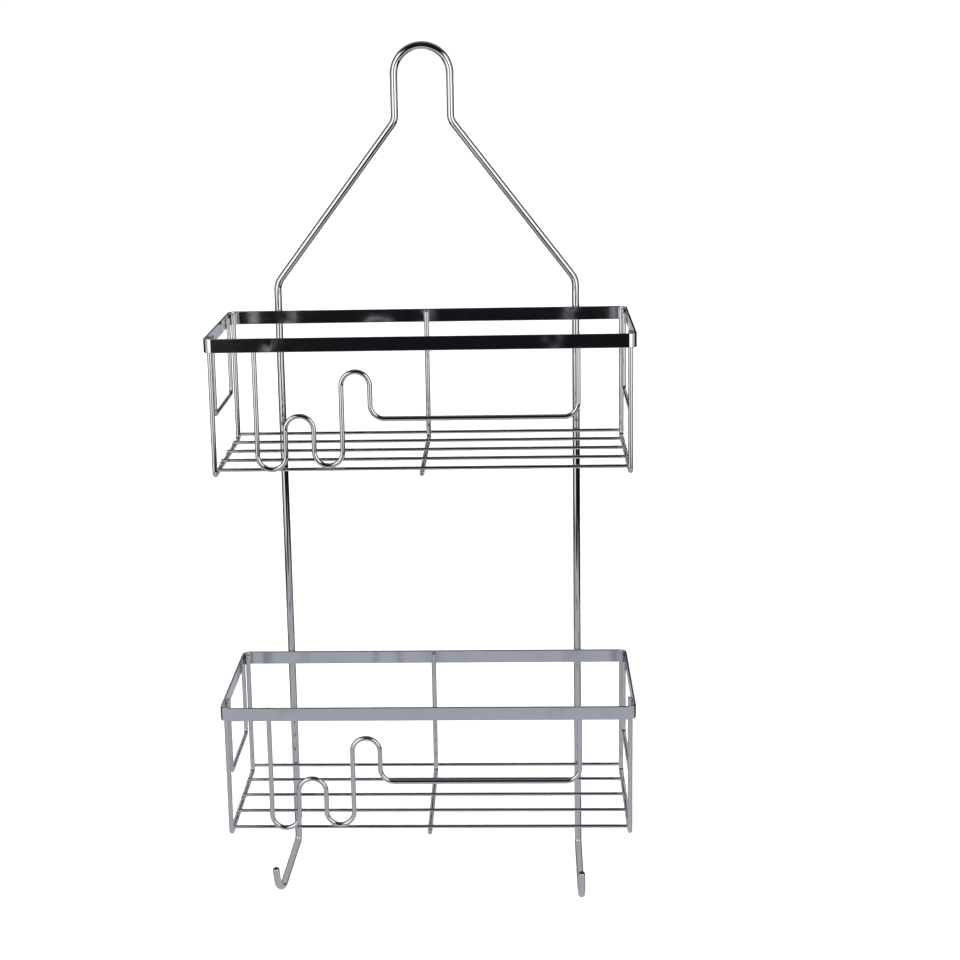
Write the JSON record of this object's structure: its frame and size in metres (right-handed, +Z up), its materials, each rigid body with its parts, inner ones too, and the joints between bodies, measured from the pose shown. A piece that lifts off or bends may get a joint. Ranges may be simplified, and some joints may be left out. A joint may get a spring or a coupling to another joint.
{
  "type": "shower caddy",
  "caption": "Two-tier hanging shower caddy of chrome-plated wire: loop-top frame with hooks, and open baskets with flat strip rims and a wavy front wire.",
  "frame": {"origin": "inside top of the hanging loop, on the frame wire's own height of contact with a shower arm, midway between the uprights and level with the back faces of the baskets' rims", "axes": "+Z up along the uprights, +X to the right seen from the front, the baskets and hooks project towards -Y"},
  "size_m": [0.3, 0.131, 0.6566],
  "materials": {
    "frame_chrome": "bright plated round wire",
    "strip_chrome": "bright plated flat strip",
    "basket_chrome": "bright plated round wire",
    "floor_chrome": "bright plated thin round wire"
  },
  "bodies": {
    "root": {"frame_wire": "frame_chrome", "upper_rim_strip": "strip_chrome", "upper_left_end_wire": "basket_chrome", "upper_right_end_wire": "basket_chrome", "upper_centre_wire": "basket_chrome", "upper_floor_wire_1": "floor_chrome", "upper_floor_wire_2": "floor_chrome", "upper_floor_wire_3": "floor_chrome", "upper_floor_wire_4": "floor_chrome", "upper_floor_wire_5": "floor_chrome", "upper_front_wave_wire": "basket_chrome", "upper_left_side_guard": "basket_chrome", "upper_right_side_guard": "basket_chrome", "lower_rim_strip": "strip_chrome", "lower_left_end_wire": "basket_chrome", "lower_right_end_wire": "basket_chrome", "lower_centre_wire": "basket_chrome", "lower_floor_wire_1": "floor_chrome", "lower_floor_wire_2": "floor_chrome", "lower_floor_wire_3": "floor_chrome", "lower_floor_wire_4": "floor_chrome", "lower_floor_wire_5": "floor_chrome", "lower_front_wave_wire": "basket_chrome", "lower_left_side_guard": "basket_chrome", "lower_right_side_guard": "basket_chrome"}
  },
  "joints": []
}
